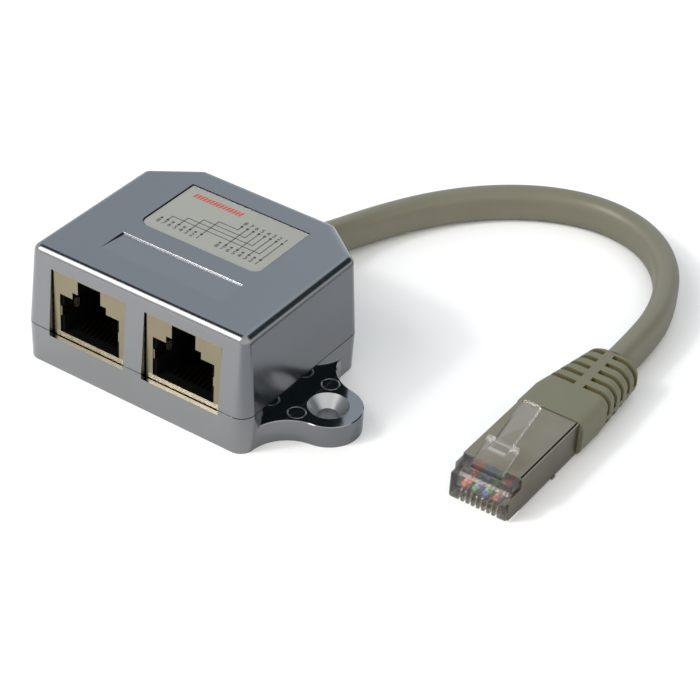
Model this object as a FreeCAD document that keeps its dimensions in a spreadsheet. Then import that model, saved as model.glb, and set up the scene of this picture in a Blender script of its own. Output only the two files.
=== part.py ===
"""Cable sharing adapter: a plated housing with two shielded sockets, on a short plugged cable.

Millimetres, +Z up, +Y to the back. The origin is the centre of the housing's base.
"""
import FreeCAD, Part
import math
import os

import Sketcher
from FreeCAD import Vector

# Driving sizes, in millimetres unless the name says otherwise
SIZES = {
    # housing: the top outline, and the parting line where the two shells meet
    "housing_width": 46.6,
    "housing_depth": 38.8,
    "cover_over_sockets": 3.43,
    "parting_height": 7.64,
    "wall_lean": 1.1,
    "base_tuck": 0.2,
    "rear_cut_across": 8.84,
    "rear_cut_along": 6.68,
    "shell_wall": 1.8,
    "shell_corner_radius": 1.7,
    "shell_edge_radius": 1.6,
    "seam_chamfer": 0.18,
    # recesses in the cover
    "recess_width": 26.2,
    "recess_depth": 0.35,
    "recess_corner": 2.0,
    "label_front": 2.3,
    "label_length": 16.1,
    "label_thickness": 0.15,
    "label_gap": 0.25,
    "ramp_rear": 6.5,
    "ramp_length": 6.3,
    "ramp_edge_radius": 0.2,
    # fixing lug
    "lug_height": 4.4,
    "lug_reach": 7.1,
    "lug_back": 4.0,
    "lug_end_radius": 6.2,
    "lug_flare_radius": 8.0,
    "lug_edge_chamfer": 0.15,
    "lug_hole": 3.6,
    "lug_sink": 7.5,
    # board and the posts that clamp it
    "board_thickness": 1.6,
    "board_gap": 0.3,
    "board_rear": 10.6,
    "post_across": 16.0,
    "post_back": 6.9,
    "post_diameter": 5.2,
    "pillar_across": 19.6,
    "pillar_front": 14.6,
    "pillar_diameter": 3.6,
    # shell screws
    "screw_diameter": 2.2,
    "screw_grip": 7.0,
    "screw_head": 4.6,
    "screw_hole": 2.6,
    "screw_sunk": 0.3,
    # sockets
    "socket_spacing": 20.62,
    "shield_width": 16.4,
    "shield_over_slot": 0.27,
    "shield_bottom": 6.86,
    "shield_depth": 16.0,
    "shield_sheet": 0.3,
    "shield_edge_radius": 0.35,
    "shield_gap": 0.1,
    "notch_gap": 0.2,
    "mouth_width": 13.2,
    "mouth_sill": 0.99,
    "mouth_height": 8.05,
    "step_width": 7.5,
    "step_rise": 1.4,
    "slot_width": 5.06,
    "slot_rise": 2.8,
    "finger_rise": 3.45,
    "finger_height": 1.95,
    "finger_length": 4.2,
    "finger_tip": 0.9,
    "finger_draft": 0.12,
    "finger_bend": 0.65,
    "insert_gap": 0.08,
    "cavity_lip": 0.65,
    "cavity_depth": 12.4,
    "finger_pocket": 1.0,
    # socket contacts
    "contact_pitch": 1.02,
    "contact_width": 0.36,
    "contact_sheet": 0.3,
    "contact_slot": 0.56,
    "contact_front": 2.1,
    "contact_heel": 13.6,
    "contact_run": 0.45,
    "contact_knee": 1.35,
    "contact_tip_back": 9.6,
    "contact_tip_rise": 3.3,
    # flat cable, standing on edge
    "cable_width": 4.76,
    "cable_height": 7.2,
    "cable_gap": 0.1,
    "clamp_wall": 0.6,
    "clamp_length": 3.6,
    # plug, laid on the same surface, its nose to the front
    "plug_across": 63.3,
    "plug_nose": 7.3,
    "plug_lift": 0.4,
    "plug_width": 11.68,
    "plug_height": 6.6,
    "nose_height": 5.2,
    "nose_step": 1.05,
    "shell_start": 4.0,
    "shell_length": 19.2,
    "shell_sheet": 0.25,
    "shell_gap": 0.05,
    "shell_slit": 0.35,
    "wing_start": 0.35,
    "wing_height": 4.7,
    "bore_width": 9.6,
    "bore_bottom": 2.2,
    "bore_top": 5.0,
    "bore_start": 1.5,
    "wire_diameter": 0.94,
    "wire_low": 2.75,
    "wire_high": 3.85,
    "wire_start": 1.8,
    "wire_length": 19.4,
    "bar_start": 5.4,
    "bar_length": 7.0,
    "bar_gap": 0.1,
    "blade_width": 0.3,
    "blade_slot": 0.44,
    "blade_start": 0.5,
    "blade_length": 4.2,
    "blade_bottom": 0.45,
    "latch_width": 6.0,
    "lever_width": 3.4,
    "latch_root": 1.4,
    "latch_sheet": 0.9,
    "latch_knee_back": 4.6,
    "latch_knee_rise": 2.4,
    "latch_shoulder_back": 7.0,
    "latch_shoulder_rise": 3.0,
    "catch_length": 1.1,
    "catch_rise": 0.45,
    "catch_ramp": 0.35,
    "latch_tip_back": 15.8,
    "latch_tip_rise": 6.3,
    # boot moulded on the cable
    "boot_front_width": 13.4,
    "boot_front_height": 7.2,
    "boot_waist": 6.0,
    "boot_waist_corner": 1.8,
    "boot_length": 21.7,
    "boot_end_width": 10.6,
    "boot_end_height": 7.6,
    "boot_end_corner": 3.3,
    "boot_end_shift": 0.9,
    "boot_end_round": 0.9,
    "groove_first": 8.9,
    "groove_pitch": 2.6,
    "groove_width": 1.1,
    "groove_depth": 0.8,
    "groove_count": 5,
    "rib_width": 1.8,
    "rib_shift": 0.35,
    "side_rib_bottom": 2.5,
    "side_rib_top": 3.3,
}

# Route of the cable's centreline, corner to corner, chosen by hand
CABLE_ROUTE = [
    (0.0, 13.6, 7.64),
    (0.0, 22.2, 7.64),
    (0.1, 31.0, 6.5),
    (1.0, 40.2, 4.3),
    (4.0, 50.4, 3.62),
    (9.2, 61.0, 3.6),
    (16.5, 70.6, 3.61),
    (26.2, 78.2, 3.6),
    (37.6, 81.7, 3.61),
    (48.8, 79.2, 3.6),
    (57.4, 71.2, 3.61),
    (62.1, 60.6, 3.62),
    (64.2, 50.0, 3.8),
    (64.2, 37.6, 3.8),
]

# Wire colours across the plug, left to right
WIRE_NAMES = [
    "white_orange",
    "orange",
    "white_green",
    "blue",
    "white_blue",
    "green",
    "white_brown",
    "brown",
]

# Contacts side by side in a socket, and blades in the plug
CONTACTS = len(WIRE_NAMES)
# How far past a surface a cutting outline reaches
OVERRUN = 1.0
# Flats on each rounded end of the cable's section
OVAL_FLATS = 4
# Share of a run that the arc at its end may use
ARC_SHARE = 0.45
# How near two places count as one, when edges are picked by where they lie
SAME_PLACE = 1e-5
# How near a picked rim's radius and centre come to the hole's own
SAME_HOLE = 0.001


class Size:
    """A size that knows its value and the spreadsheet expression that gives it."""

    def __init__(self, value, text):
        self.value = value
        self.text = text

    def __add__(self, other):
        other = as_size(other)
        return Size(self.value + other.value, f"({self.text} + {other.text})")

    def __sub__(self, other):
        other = as_size(other)
        return Size(self.value - other.value, f"({self.text} - {other.text})")

    def __mul__(self, other):
        other = as_size(other)
        return Size(self.value * other.value, f"({self.text} * {other.text})")

    def __truediv__(self, other):
        other = as_size(other)
        return Size(self.value / other.value, f"({self.text} / {other.text})")

    def __neg__(self):
        return Size(-self.value, f"(-1 * {self.text})")

    def __rsub__(self, other):
        return as_size(other) - self

    __radd__ = __add__
    __rmul__ = __mul__

    def root(self):
        return Size(math.sqrt(self.value), f"sqrt({self.text})")


def as_size(item):
    """A plain number as a size that has no cell of its own."""
    if isinstance(item, Size):
        return item
    return Size(float(item), f"({float(item):.9f})")


def slope_angle(rise, run):
    """Angle in degrees whose tangent is rise over run."""
    degrees = math.degrees(math.atan2(rise.value, run.value))
    return Size(degrees, f"atan({rise.text} / {run.text})")


doc = FreeCAD.newDocument("CableSharingAdapter")
sheet = doc.addObject("Spreadsheet::Sheet", "Dimensions")
for row, (alias, number) in enumerate(SIZES.items(), start=1):
    sheet.set(f"A{row}", alias)
    sheet.set(f"B{row}", str(number))
    sheet.setAlias(f"B{row}", alias)
doc.recompute()


class Dimensions:
    """Reads a cell of the sheet as a size, by its alias."""

    def __getattr__(self, alias):
        return Size(float(sheet.get(alias)), "Dimensions." + alias)


D = Dimensions()


# Heights and places that several pieces share
half_width = D.housing_width / 2
front = -D.housing_depth / 2
rear = D.housing_depth / 2
board_top = D.shield_bottom
mouth_bottom = D.shield_bottom + D.mouth_sill
mouth_top = mouth_bottom + D.mouth_height
step_top = mouth_top + D.step_rise
slot_top = step_top + D.slot_rise
finger_bottom = mouth_bottom + D.finger_rise
shield_top = slot_top + D.shield_over_slot
housing_height = shield_top + D.cover_over_sockets
board_bottom = board_top - D.board_thickness
lug_across = half_width + D.lug_reach
nose = -D.plug_nose
plug_floor = D.plug_lift
boot_front = nose + D.shell_start + D.shell_length


def bind(thing, path, size):
    """Tie one property or constraint of an object to the spreadsheet."""
    thing.setExpression(path, as_size(size).text)


def new_body(label):
    body = doc.addObject("PartDesign::Body", label)
    body.Label = label
    return body


# World direction of each origin plane's normal, as the sign of the offset along it
PLANE_SIGN = {"XY_Plane": 1, "XZ_Plane": -1, "YZ_Plane": 1}


def new_sketch(body, name, role, place):
    """A sketch on one of the body's origin planes, moved to a place along its normal."""
    sketch = body.newObject("Sketcher::SketchObject", body.Name + "_" + name)
    planes = body.Origin.OriginFeatures
    sketch.AttachmentSupport = [(next(p for p in planes if p.Role == role), "")]
    sketch.MapMode = "FlatFace"
    offset = as_size(place) * PLANE_SIGN[role]
    sketch.AttachmentOffset = FreeCAD.Placement(Vector(0, 0, offset.value), FreeCAD.Rotation())
    bind(sketch, "AttachmentOffset.Base.z", offset)
    return sketch


def pin_point(sketch, geometry, end, point):
    """Hold one end of a line or arc at a bound place."""
    for kind, size in (("DistanceX", point[0]), ("DistanceY", point[1])):
        size = as_size(size)
        index = sketch.addConstraint(Sketcher.Constraint(kind, -1, 1, geometry, end, size.value))
        bind(sketch, f"Constraints[{index}]", size)


def arc_between(start, end, radius, turn):
    """The shorter arc from start to end, turning left (1) or right (-1)."""
    chord = end - start
    middle = (start + end) * 0.5
    rise = math.sqrt(max(radius * radius - chord.Length ** 2 / 4, 0.0))
    left = Vector(-chord.y, chord.x, 0)
    left.normalize()
    centre = middle + left * (rise * turn)
    first = math.atan2(start.y - centre.y, start.x - centre.x)
    last = math.atan2(end.y - centre.y, end.x - centre.x)
    circle = Part.Circle(centre, Vector(0, 0, 1), radius)
    if turn > 0:
        return Part.ArcOfCircle(circle, first, last)
    return Part.ArcOfCircle(circle, last, first)


def draw_outline(sketch, corners):
    """A closed outline. A corner is (x, y), or (x, y, radius, turn) where an arc leads on."""
    points = [Vector(as_size(c[0]).value, as_size(c[1]).value, 0) for c in corners]
    first = sketch.GeometryCount
    count = len(corners)
    starts = []
    ends = []
    for index, corner in enumerate(corners):
        start = points[index]
        end = points[(index + 1) % count]
        if len(corner) == 2:
            sketch.addGeometry(Part.LineSegment(start, end), False)
            turn = 1
        else:
            turn = corner[3]
            sketch.addGeometry(arc_between(start, end, as_size(corner[2]).value, turn), False)
        starts.append(1 if turn > 0 else 2)
        ends.append(2 if turn > 0 else 1)
    for index in range(count):
        following = (index + 1) % count
        sketch.addConstraint(
            Sketcher.Constraint(
                "Coincident", first + index, ends[index], first + following, starts[following]
            )
        )
    for index, corner in enumerate(corners):
        pin_point(sketch, first + index, starts[index], corner[:2])
        if len(corner) == 4:
            radius = as_size(corner[2])
            held = sketch.addConstraint(Sketcher.Constraint("Radius", first + index, radius.value))
            bind(sketch, f"Constraints[{held}]", radius)


def draw_box(sketch, left, bottom, right, top):
    draw_outline(sketch, [(left, bottom), (right, bottom), (right, top), (left, top)])


def draw_circle(sketch, x, y, diameter):
    radius = as_size(diameter) / 2
    centre = Vector(as_size(x).value, as_size(y).value, 0)
    index = sketch.addGeometry(Part.Circle(centre, Vector(0, 0, 1), radius.value), False)
    pin_point(sketch, index, 3, (x, y))
    held = sketch.addConstraint(Sketcher.Constraint("Radius", index, radius.value))
    bind(sketch, f"Constraints[{held}]", radius)


def rounded_box(left, bottom, right, top, radius):
    """Corners of a rectangle whose four corners are quarter circles."""
    return [
        (left + radius, bottom),
        (right - radius, bottom, radius, 1),
        (right, bottom + radius),
        (right, top - radius, radius, 1),
        (right - radius, top),
        (left + radius, top, radius, 1),
        (left, top - radius),
        (left, bottom + radius, radius, 1),
    ]


def oval(x, y, width, height):
    """Corners of an upright oval: two straight sides and round ends, in quarter circles."""
    radius = width / 2
    straight = (height - width) / 2
    return [
        (x + radius, y - straight),
        (x + radius, y + straight, radius, 1),
        (x, y + height / 2, radius, 1),
        (x - radius, y + straight),
        (x - radius, y - straight, radius, 1),
        (x, y - height / 2, radius, 1),
    ]


def add_feature(body, kind, sketch, **settings):
    """A PartDesign feature on a sketch; sizes among the settings are bound."""
    feature = body.newObject("PartDesign::" + kind, sketch.Name + "_" + kind)
    feature.Profile = sketch
    for name, setting in settings.items():
        if isinstance(setting, Size):
            setattr(feature, name, setting.value)
            bind(feature, name, setting)
        else:
            setattr(feature, name, setting)
    body.Tip = feature
    doc.recompute()
    return feature


def pad(body, sketch, length, **settings):
    return add_feature(body, "Pad", sketch, Length=length, **settings)


def pocket(body, sketch, length, **settings):
    """A pocket that has to take something away."""
    before = body.Shape.Volume
    feature = add_feature(body, "Pocket", sketch, Length=length, **settings)
    if body.Shape.Volume >= before:
        raise ValueError(sketch.Name + " cuts nothing")
    return feature


def dress(body, kind, names, property_name, size):
    """A fillet or chamfer on named edges of the body so far."""
    base = body.Tip
    feature = body.newObject("PartDesign::" + kind, f"{base.Name}_{kind}")
    feature.Base = (base, names)
    setattr(feature, property_name, size.value)
    bind(feature, property_name, size)
    body.Tip = feature
    doc.recompute()
    return feature


def pattern(body, features, direction, length, count):
    """Repeat features along one of the body's own axes."""
    axes = body.Origin.OriginFeatures
    feature = body.newObject("PartDesign::LinearPattern", features[0].Name + "_pattern")
    feature.Originals = features
    feature.Direction = (next(a for a in axes if a.Role == direction), [""])
    feature.Length = length.value
    bind(feature, "Length", length)
    feature.Occurrences = count
    body.Tip = feature
    doc.recompute()
    return feature


def edges_where(body, test):
    return [f"Edge{i + 1}" for i, edge in enumerate(body.Shape.Edges) if test(edge)]


def lies_at(edge, height):
    """Whether an edge lies level, at a height."""
    box = edge.BoundBox
    return abs(box.ZMin - height.value) + abs(box.ZMax - height.value) < SAME_PLACE


def rim_of_hole(body, x, y, z, diameter):
    """Names of the round edges of one diameter at one height round a vertical axis."""
    centre = Vector(as_size(x).value, as_size(y).value, as_size(z).value)

    def is_rim(edge):
        curve = edge.Curve
        if not isinstance(curve, Part.Circle):
            return False
        fits = abs(curve.Radius - diameter.value / 2) < SAME_HOLE
        return fits and (curve.Center - centre).Length < SAME_HOLE

    return edges_where(body, is_rim)


def mirrored(right_half):
    """A closed outline from its right half, which runs counterclockwise from front to back."""
    left_half = []
    for index, corner in enumerate(right_half):
        before = right_half[index - 1]
        turned = (-corner[0], corner[1]) + (before[2:] if index else ())
        left_half.append(turned)
    return right_half + left_half[::-1]


def housing_outline(lean, corner_radius):
    """The housing's plan, square in front and cut across behind, grown by an even lean."""
    across = D.rear_cut_across
    along = D.rear_cut_along
    slant = (across * across + along * along).root()
    side_share = (slant - along) / across
    rear_share = (slant - across) / along
    side = half_width + lean
    side_end = rear - along + lean * side_share
    rear_end = half_width - across + lean * rear_share
    if corner_radius is None:
        return mirrored([(side, front - lean), (side, side_end), (rear_end, rear + lean)])
    radius = corner_radius + lean
    side_cut = radius * side_share
    rear_cut = radius * rear_share
    return mirrored(
        [
            (side - radius, front - lean, radius, 1),
            (side, front - lean + radius),
            (side, side_end - side_cut, radius, 1),
            (side - side_cut * across / slant, side_end + side_cut * along / slant),
            (rear_end + rear_cut * across / slant, rear + lean - rear_cut * along / slant, radius, 1),
            (rear_end - rear_cut, rear + lean),
        ]
    )


def hollow(body, place, lean, depth, taper, upward):
    """Hollow a shell from the parting plane, leaving an even wall."""
    sketch = new_sketch(body, "inside", "XY_Plane", place)
    draw_outline(sketch, housing_outline(lean - D.shell_wall, None))
    pocket(body, sketch, depth, Reversed=upward, TaperAngle=-taper)


def socket_places():
    """Centre of each socket across the housing."""
    return {"left": -D.socket_spacing / 2, "right": D.socket_spacing / 2}


def post_places():
    return [(-D.post_across, D.post_back), (D.post_across, D.post_back)]


def upper_shell():
    """Moulded cover: socket windows, two recesses, and posts that hold the board down."""
    body = new_body("upper_shell")
    rise = housing_height - D.parting_height
    taper = slope_angle(D.wall_lean, rise)
    sketch = new_sketch(body, "parting", "XY_Plane", D.parting_height)
    draw_outline(sketch, housing_outline(D.wall_lean, D.shell_corner_radius))
    pad(body, sketch, rise, TaperAngle=-taper)
    rim = edges_where(body, lambda e: lies_at(e, housing_height))
    dress(body, "Fillet", rim, "Radius", D.shell_edge_radius)
    seam = edges_where(body, lambda e: lies_at(e, D.parting_height))
    dress(body, "Chamfer", seam, "Size", D.seam_chamfer)
    hollow(body, D.parting_height, D.wall_lean, rise - D.shell_wall, taper, True)

    sketch = new_sketch(body, "windows", "XZ_Plane", front - D.wall_lean - OVERRUN)
    half = D.shield_width / 2 + D.shield_gap
    for centre in socket_places().values():
        draw_box(
            sketch,
            centre - half,
            D.parting_height - OVERRUN,
            centre + half,
            shield_top + D.shield_gap,
        )
    pocket(body, sketch, D.wall_lean + D.shell_wall + 2 * OVERRUN)

    sketch = new_sketch(body, "label_recess", "XY_Plane", housing_height)
    half = D.recess_width / 2
    corner = D.recess_corner
    back = D.label_length - D.label_front
    draw_outline(
        sketch,
        [
            (-half + corner, -D.label_front),
            (half - corner, -D.label_front, corner, 1),
            (half, -D.label_front + corner),
            (half, back),
            (-half, back),
            (-half, -D.label_front + corner, corner, 1),
        ],
    )
    pocket(body, sketch, D.recess_depth)

    sketch = new_sketch(body, "ramp_recess", "YZ_Plane", 0)
    ramp_front = -D.ramp_rear - D.ramp_length
    draw_outline(
        sketch,
        [
            (ramp_front, housing_height),
            (-D.ramp_rear, housing_height - D.recess_depth),
            (-D.ramp_rear, housing_height + OVERRUN),
            (ramp_front, housing_height + OVERRUN),
        ],
    )
    pocket(body, sketch, D.recess_width, Midplane=True)
    step = -D.ramp_rear.value
    brink = edges_where(
        body,
        lambda e: lies_at(e, housing_height)
        and abs(e.BoundBox.YMin - step) + abs(e.BoundBox.YMax - step) < SAME_PLACE,
    )
    dress(body, "Fillet", brink, "Radius", D.ramp_edge_radius)

    sketch = new_sketch(body, "posts", "XY_Plane", board_top)
    for x, y in post_places():
        draw_circle(sketch, x, y, D.post_diameter)
    pad(body, sketch, housing_height - D.shell_wall / 2 - board_top)

    sketch = new_sketch(body, "pilot_holes", "XY_Plane", board_top)
    for x, y in post_places():
        draw_circle(sketch, x, y, D.screw_diameter)
    pocket(body, sketch, D.screw_grip + OVERRUN, Reversed=True)

    cable_hole(body)
    return body


def cable_hole(body):
    """Oval hole for the cable, through the rear wall at the parting line."""
    sketch = new_sketch(body, "cable_hole", "XZ_Plane", rear - D.shell_wall - OVERRUN)
    width = D.cable_width + 2 * D.cable_gap
    height = D.cable_height + 2 * D.cable_gap
    draw_outline(sketch, oval(as_size(0), D.parting_height, width, height))
    pocket(body, sketch, D.shell_wall + D.wall_lean + 2 * OVERRUN)


def lug_outline():
    """Plan of the lug: a round end that flares into the wall on both sides."""
    wall = half_width + D.wall_lean - D.base_tuck
    flare = D.lug_flare_radius
    end = D.lug_end_radius
    across = wall + flare - lug_across
    along = ((flare + end) * (flare + end) - across * across).root()
    share = end / (flare + end)
    middle = -D.lug_back
    inside = wall - D.shell_wall / 2
    return [
        (wall, middle - along, flare, -1),
        (lug_across + across * share, middle - along * share, end, 1),
        (lug_across + end, middle, end, 1),
        (lug_across + across * share, middle + along * share, flare, -1),
        (wall, middle + along),
        (inside, middle + along),
        (inside, middle - along),
    ]


def lower_shell():
    """Moulded base: fixing lug, posts and pillars under the board, notches for the shields."""
    body = new_body("lower_shell")
    base_lean = D.wall_lean - D.base_tuck
    taper = slope_angle(D.base_tuck, D.parting_height)
    sketch = new_sketch(body, "base", "XY_Plane", 0)
    draw_outline(sketch, housing_outline(base_lean, D.shell_corner_radius))
    pad(body, sketch, D.parting_height, TaperAngle=taper)
    depth = D.parting_height - D.shell_wall
    hollow(body, D.parting_height, D.wall_lean, depth, taper, False)

    sketch = new_sketch(body, "lug", "XY_Plane", 0)
    draw_outline(sketch, lug_outline())
    pad(body, sketch, D.lug_height)
    outside = half_width.value + D.wall_lean.value
    brow = edges_where(body, lambda e: lies_at(e, D.lug_height) and e.BoundBox.XMax > outside)
    dress(body, "Chamfer", brow, "Size", D.lug_edge_chamfer)
    sketch = new_sketch(body, "lug_hole", "XY_Plane", D.lug_height)
    draw_circle(sketch, lug_across, -D.lug_back, D.lug_hole)
    pocket(body, sketch, D.lug_height + OVERRUN)
    rim = rim_of_hole(body, lug_across, -D.lug_back, D.lug_height, D.lug_hole)
    dress(body, "Chamfer", rim, "Size", (D.lug_sink - D.lug_hole) / 2)

    sketch = new_sketch(body, "posts", "XY_Plane", D.shell_wall / 2)
    for x, y in post_places():
        draw_circle(sketch, x, y, D.post_diameter)
    for x in (-D.pillar_across, D.pillar_across):
        draw_circle(sketch, x, -D.pillar_front, D.pillar_diameter)
    pad(body, sketch, board_bottom - D.shell_wall / 2)

    sketch = new_sketch(body, "screw_holes", "XY_Plane", board_bottom)
    for x, y in post_places():
        draw_circle(sketch, x, y, D.screw_hole)
    pocket(body, sketch, board_bottom + OVERRUN)
    rims = []
    for x, y in post_places():
        rims += rim_of_hole(body, x, y, 0, D.screw_hole)
    dress(body, "Chamfer", rims, "Size", (D.screw_head - D.screw_hole) / 2 + D.screw_sunk)

    sketch = new_sketch(body, "notches", "XZ_Plane", front - D.wall_lean - OVERRUN)
    half = D.shield_width / 2 + D.shield_gap
    for centre in socket_places().values():
        draw_box(
            sketch,
            centre - half,
            D.shield_bottom - D.notch_gap,
            centre + half,
            D.parting_height + OVERRUN,
        )
    pocket(body, sketch, D.wall_lean + D.shell_wall + 2 * OVERRUN)

    cable_hole(body)
    return body


def wiring_label():
    """Printed label that nearly fills its recess."""
    body = new_body("wiring_label")
    sketch = new_sketch(body, "outline", "XY_Plane", housing_height - D.recess_depth)
    half = D.recess_width / 2 - D.label_gap
    near = -D.label_front + D.label_gap
    far = D.label_length - D.label_front - D.label_gap
    corner = D.recess_corner - D.label_gap
    draw_outline(
        sketch,
        [
            (-half + corner, near),
            (half - corner, near, corner, 1),
            (half, near + corner),
            (half, far),
            (-half, far),
            (-half, near + corner, corner, 1),
        ],
    )
    pad(body, sketch, D.label_thickness)
    return body


def circuit_board():
    """Board clamped between the posts of the two shells, with the sockets on it."""
    body = new_body("circuit_board")
    sketch = new_sketch(body, "outline", "XY_Plane", board_bottom)
    half = half_width + D.wall_lean - D.base_tuck - D.shell_wall - D.board_gap
    near = front - D.wall_lean + D.base_tuck + D.shell_wall + D.board_gap
    draw_box(sketch, -half, near, half, D.board_rear)
    pad(body, sketch, D.board_thickness)
    sketch = new_sketch(body, "screw_holes", "XY_Plane", board_top)
    for x, y in post_places():
        draw_circle(sketch, x, y, D.screw_hole)
    pocket(body, sketch, D.board_thickness + OVERRUN)
    return body


def shell_screws():
    """Two countersunk screws that pull the shells together through the board."""
    body = new_body("shell_screws")
    body.AllowCompound = True
    sketch = new_sketch(body, "profile", "XZ_Plane", D.post_back)
    shank = D.screw_diameter / 2
    head = D.screw_head / 2
    x = -D.post_across
    rim = D.screw_sunk
    tip = board_top + D.screw_grip
    draw_outline(
        sketch,
        [
            (x, rim),
            (x + head, rim),
            (x + shank, rim + head - shank),
            (x + shank, tip),
            (x, tip),
        ],
    )
    axis = sketch.addGeometry(
        Part.LineSegment(Vector(x.value, rim.value, 0), Vector(x.value, tip.value, 0)), True
    )
    sketch.addConstraint(Sketcher.Constraint("Coincident", axis, 1, 0, 1))
    sketch.addConstraint(Sketcher.Constraint("Coincident", axis, 2, 4, 1))
    screw = body.newObject("PartDesign::Revolution", "shell_screw")
    screw.Profile = sketch
    screw.ReferenceAxis = (sketch, ["Axis0"])
    screw.Angle = 360
    body.Tip = screw
    doc.recompute()
    pattern(body, [screw], "X_Axis", 2 * D.post_across, 2)
    return body


def stepped_mouth(centre, lower_half, bottom):
    """Outline of a socket's mouth: wide for the plug, narrower for its latch in two steps."""
    step = D.step_width / 2
    slot = D.slot_width / 2
    return [
        (centre - lower_half, bottom),
        (centre + lower_half, bottom),
        (centre + lower_half, mouth_top),
        (centre + step, mouth_top),
        (centre + step, step_top),
        (centre + slot, step_top),
        (centre + slot, slot_top),
        (centre - slot, slot_top),
        (centre - slot, step_top),
        (centre - step, step_top),
        (centre - step, mouth_top),
        (centre - lower_half, mouth_top),
    ]


def jack_shield(side, centre):
    """Folded sheet shield round one socket, with a sprung finger in each side of its mouth."""
    body = new_body("jack_shield_" + side)
    half = D.shield_width / 2
    sheet = D.shield_sheet
    sketch = new_sketch(body, "outer", "XZ_Plane", front)
    draw_box(sketch, centre - half, D.shield_bottom, centre + half, shield_top)
    pad(body, sketch, D.shield_depth, Reversed=True)
    face = front.value
    folds = edges_where(
        body,
        lambda e: abs(e.BoundBox.YMin - face) + abs(e.BoundBox.YMax - face) < SAME_PLACE
        and e.BoundBox.ZMax > shield_top.value - SAME_PLACE,
    )
    dress(body, "Fillet", folds, "Radius", D.shield_edge_radius)
    sketch = new_sketch(body, "inner", "XY_Plane", D.shield_bottom)
    inner = half - sheet
    draw_box(
        sketch,
        centre - inner,
        front + sheet,
        centre + inner,
        front + D.shield_depth - sheet,
    )
    pocket(body, sketch, shield_top - D.shield_bottom - sheet, Reversed=True)
    sketch = new_sketch(body, "mouth", "XZ_Plane", front - OVERRUN)
    draw_outline(sketch, stepped_mouth(centre, D.mouth_width / 2, mouth_bottom))
    pocket(body, sketch, sheet + OVERRUN + sheet)

    sketch = new_sketch(body, "fingers", "XY_Plane", finger_bottom)
    edge = D.mouth_width / 2
    knee = front + D.finger_length - D.finger_tip
    tip = front + D.finger_length
    for hand in (-1, 1):
        corners = [
            (centre + hand * (edge + sheet / 2), front + sheet / 2),
            (centre + hand * (edge - sheet), front + sheet / 2),
            (centre + hand * (edge - sheet - D.finger_draft), knee),
            (centre + hand * (edge - sheet - D.finger_bend), tip),
            (centre + hand * (edge - D.finger_bend), tip + sheet / 2),
            (centre + hand * (edge - D.finger_draft), knee + sheet / 2),
            (centre + hand * edge, front + sheet),
            (centre + hand * (edge + sheet / 2), front + sheet),
        ]
        draw_outline(sketch, corners)
    pad(body, sketch, D.finger_height)
    return body


def jack_body(side, centre):
    """Black insulator of one socket, with a comb of slots for the contacts."""
    body = new_body("jack_body_" + side)
    gap = D.insert_gap
    half = D.shield_width / 2 - D.shield_sheet - gap
    near = front + D.shield_sheet + gap
    far = front + D.shield_depth - D.shield_sheet - gap
    sketch = new_sketch(body, "outer", "XZ_Plane", near)
    draw_box(sketch, centre - half, board_top, centre + half, shield_top - D.shield_sheet - gap)
    pad(body, sketch, far - near, Reversed=True)
    sketch = new_sketch(body, "cavity", "XZ_Plane", front)
    floor = mouth_bottom + gap
    draw_outline(sketch, stepped_mouth(centre, D.mouth_width / 2 - D.cavity_lip, floor))
    pocket(body, sketch, D.cavity_depth)

    sketch = new_sketch(body, "finger_pockets", "XZ_Plane", front)
    reach = D.mouth_width / 2 + D.shield_sheet
    draw_box(
        sketch,
        centre - reach,
        finger_bottom - D.insert_gap,
        centre + reach,
        finger_bottom + D.finger_height + D.insert_gap,
    )
    pocket(body, sketch, D.finger_length + D.finger_pocket)

    sketch = new_sketch(body, "comb", "XY_Plane", board_top)
    first = centre - (CONTACTS - 1) / 2 * D.contact_pitch
    slack = (D.contact_slot - D.contact_width) / 2
    draw_box(
        sketch,
        first - D.contact_slot / 2,
        front + D.contact_front - slack,
        first + D.contact_slot / 2,
        front + D.contact_heel + slack,
    )
    slot = pocket(body, sketch, mouth_bottom + gap - board_top, Reversed=True)
    pattern(body, [slot], "X_Axis", (CONTACTS - 1) * D.contact_pitch, CONTACTS)
    return body


def jack_contacts(side, centre):
    """Eight sprung contacts: a foot on the board, a run in the floor, and an arm that rises back."""
    body = new_body("jack_contacts_" + side)
    body.AllowCompound = True
    first = centre - (CONTACTS - 1) / 2 * D.contact_pitch
    sheet = D.contact_sheet
    near = front + D.contact_front
    heel = front + D.contact_heel
    run = board_top + D.contact_run
    tip_back = front + D.contact_tip_back
    tip = board_top + D.contact_tip_rise
    sketch = new_sketch(body, "spring", "YZ_Plane", first)
    draw_outline(
        sketch,
        [
            (heel - sheet, board_top),
            (heel, board_top),
            (heel, run + sheet),
            (near + sheet, run + sheet),
            (near + sheet, board_top + D.contact_knee),
            (tip_back, tip),
            (tip_back, tip + sheet),
            (near, board_top + D.contact_knee + sheet),
            (near, run),
            (heel - sheet, run),
        ],
    )
    spring = pad(body, sketch, D.contact_width, Midplane=True)
    pattern(body, [spring], "X_Axis", (CONTACTS - 1) * D.contact_pitch, CONTACTS)
    return body


def cable_clamp():
    """Crimped ferrule on the cable, tight behind the rear wall."""
    body = new_body("cable_clamp")
    inner_rear = rear + D.wall_lean - D.base_tuck - D.shell_wall - D.board_gap
    sketch = new_sketch(body, "ring", "XZ_Plane", inner_rear - D.clamp_length)
    wide = D.cable_width + 2 * D.cable_gap
    high = D.cable_height + 2 * D.cable_gap
    draw_outline(sketch, oval(as_size(0), D.parting_height, wide, high))
    wall = 2 * D.clamp_wall
    draw_outline(sketch, oval(as_size(0), D.parting_height, wide + wall, high + wall))
    pad(body, sketch, D.clamp_length, Reversed=True)
    return body


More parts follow.
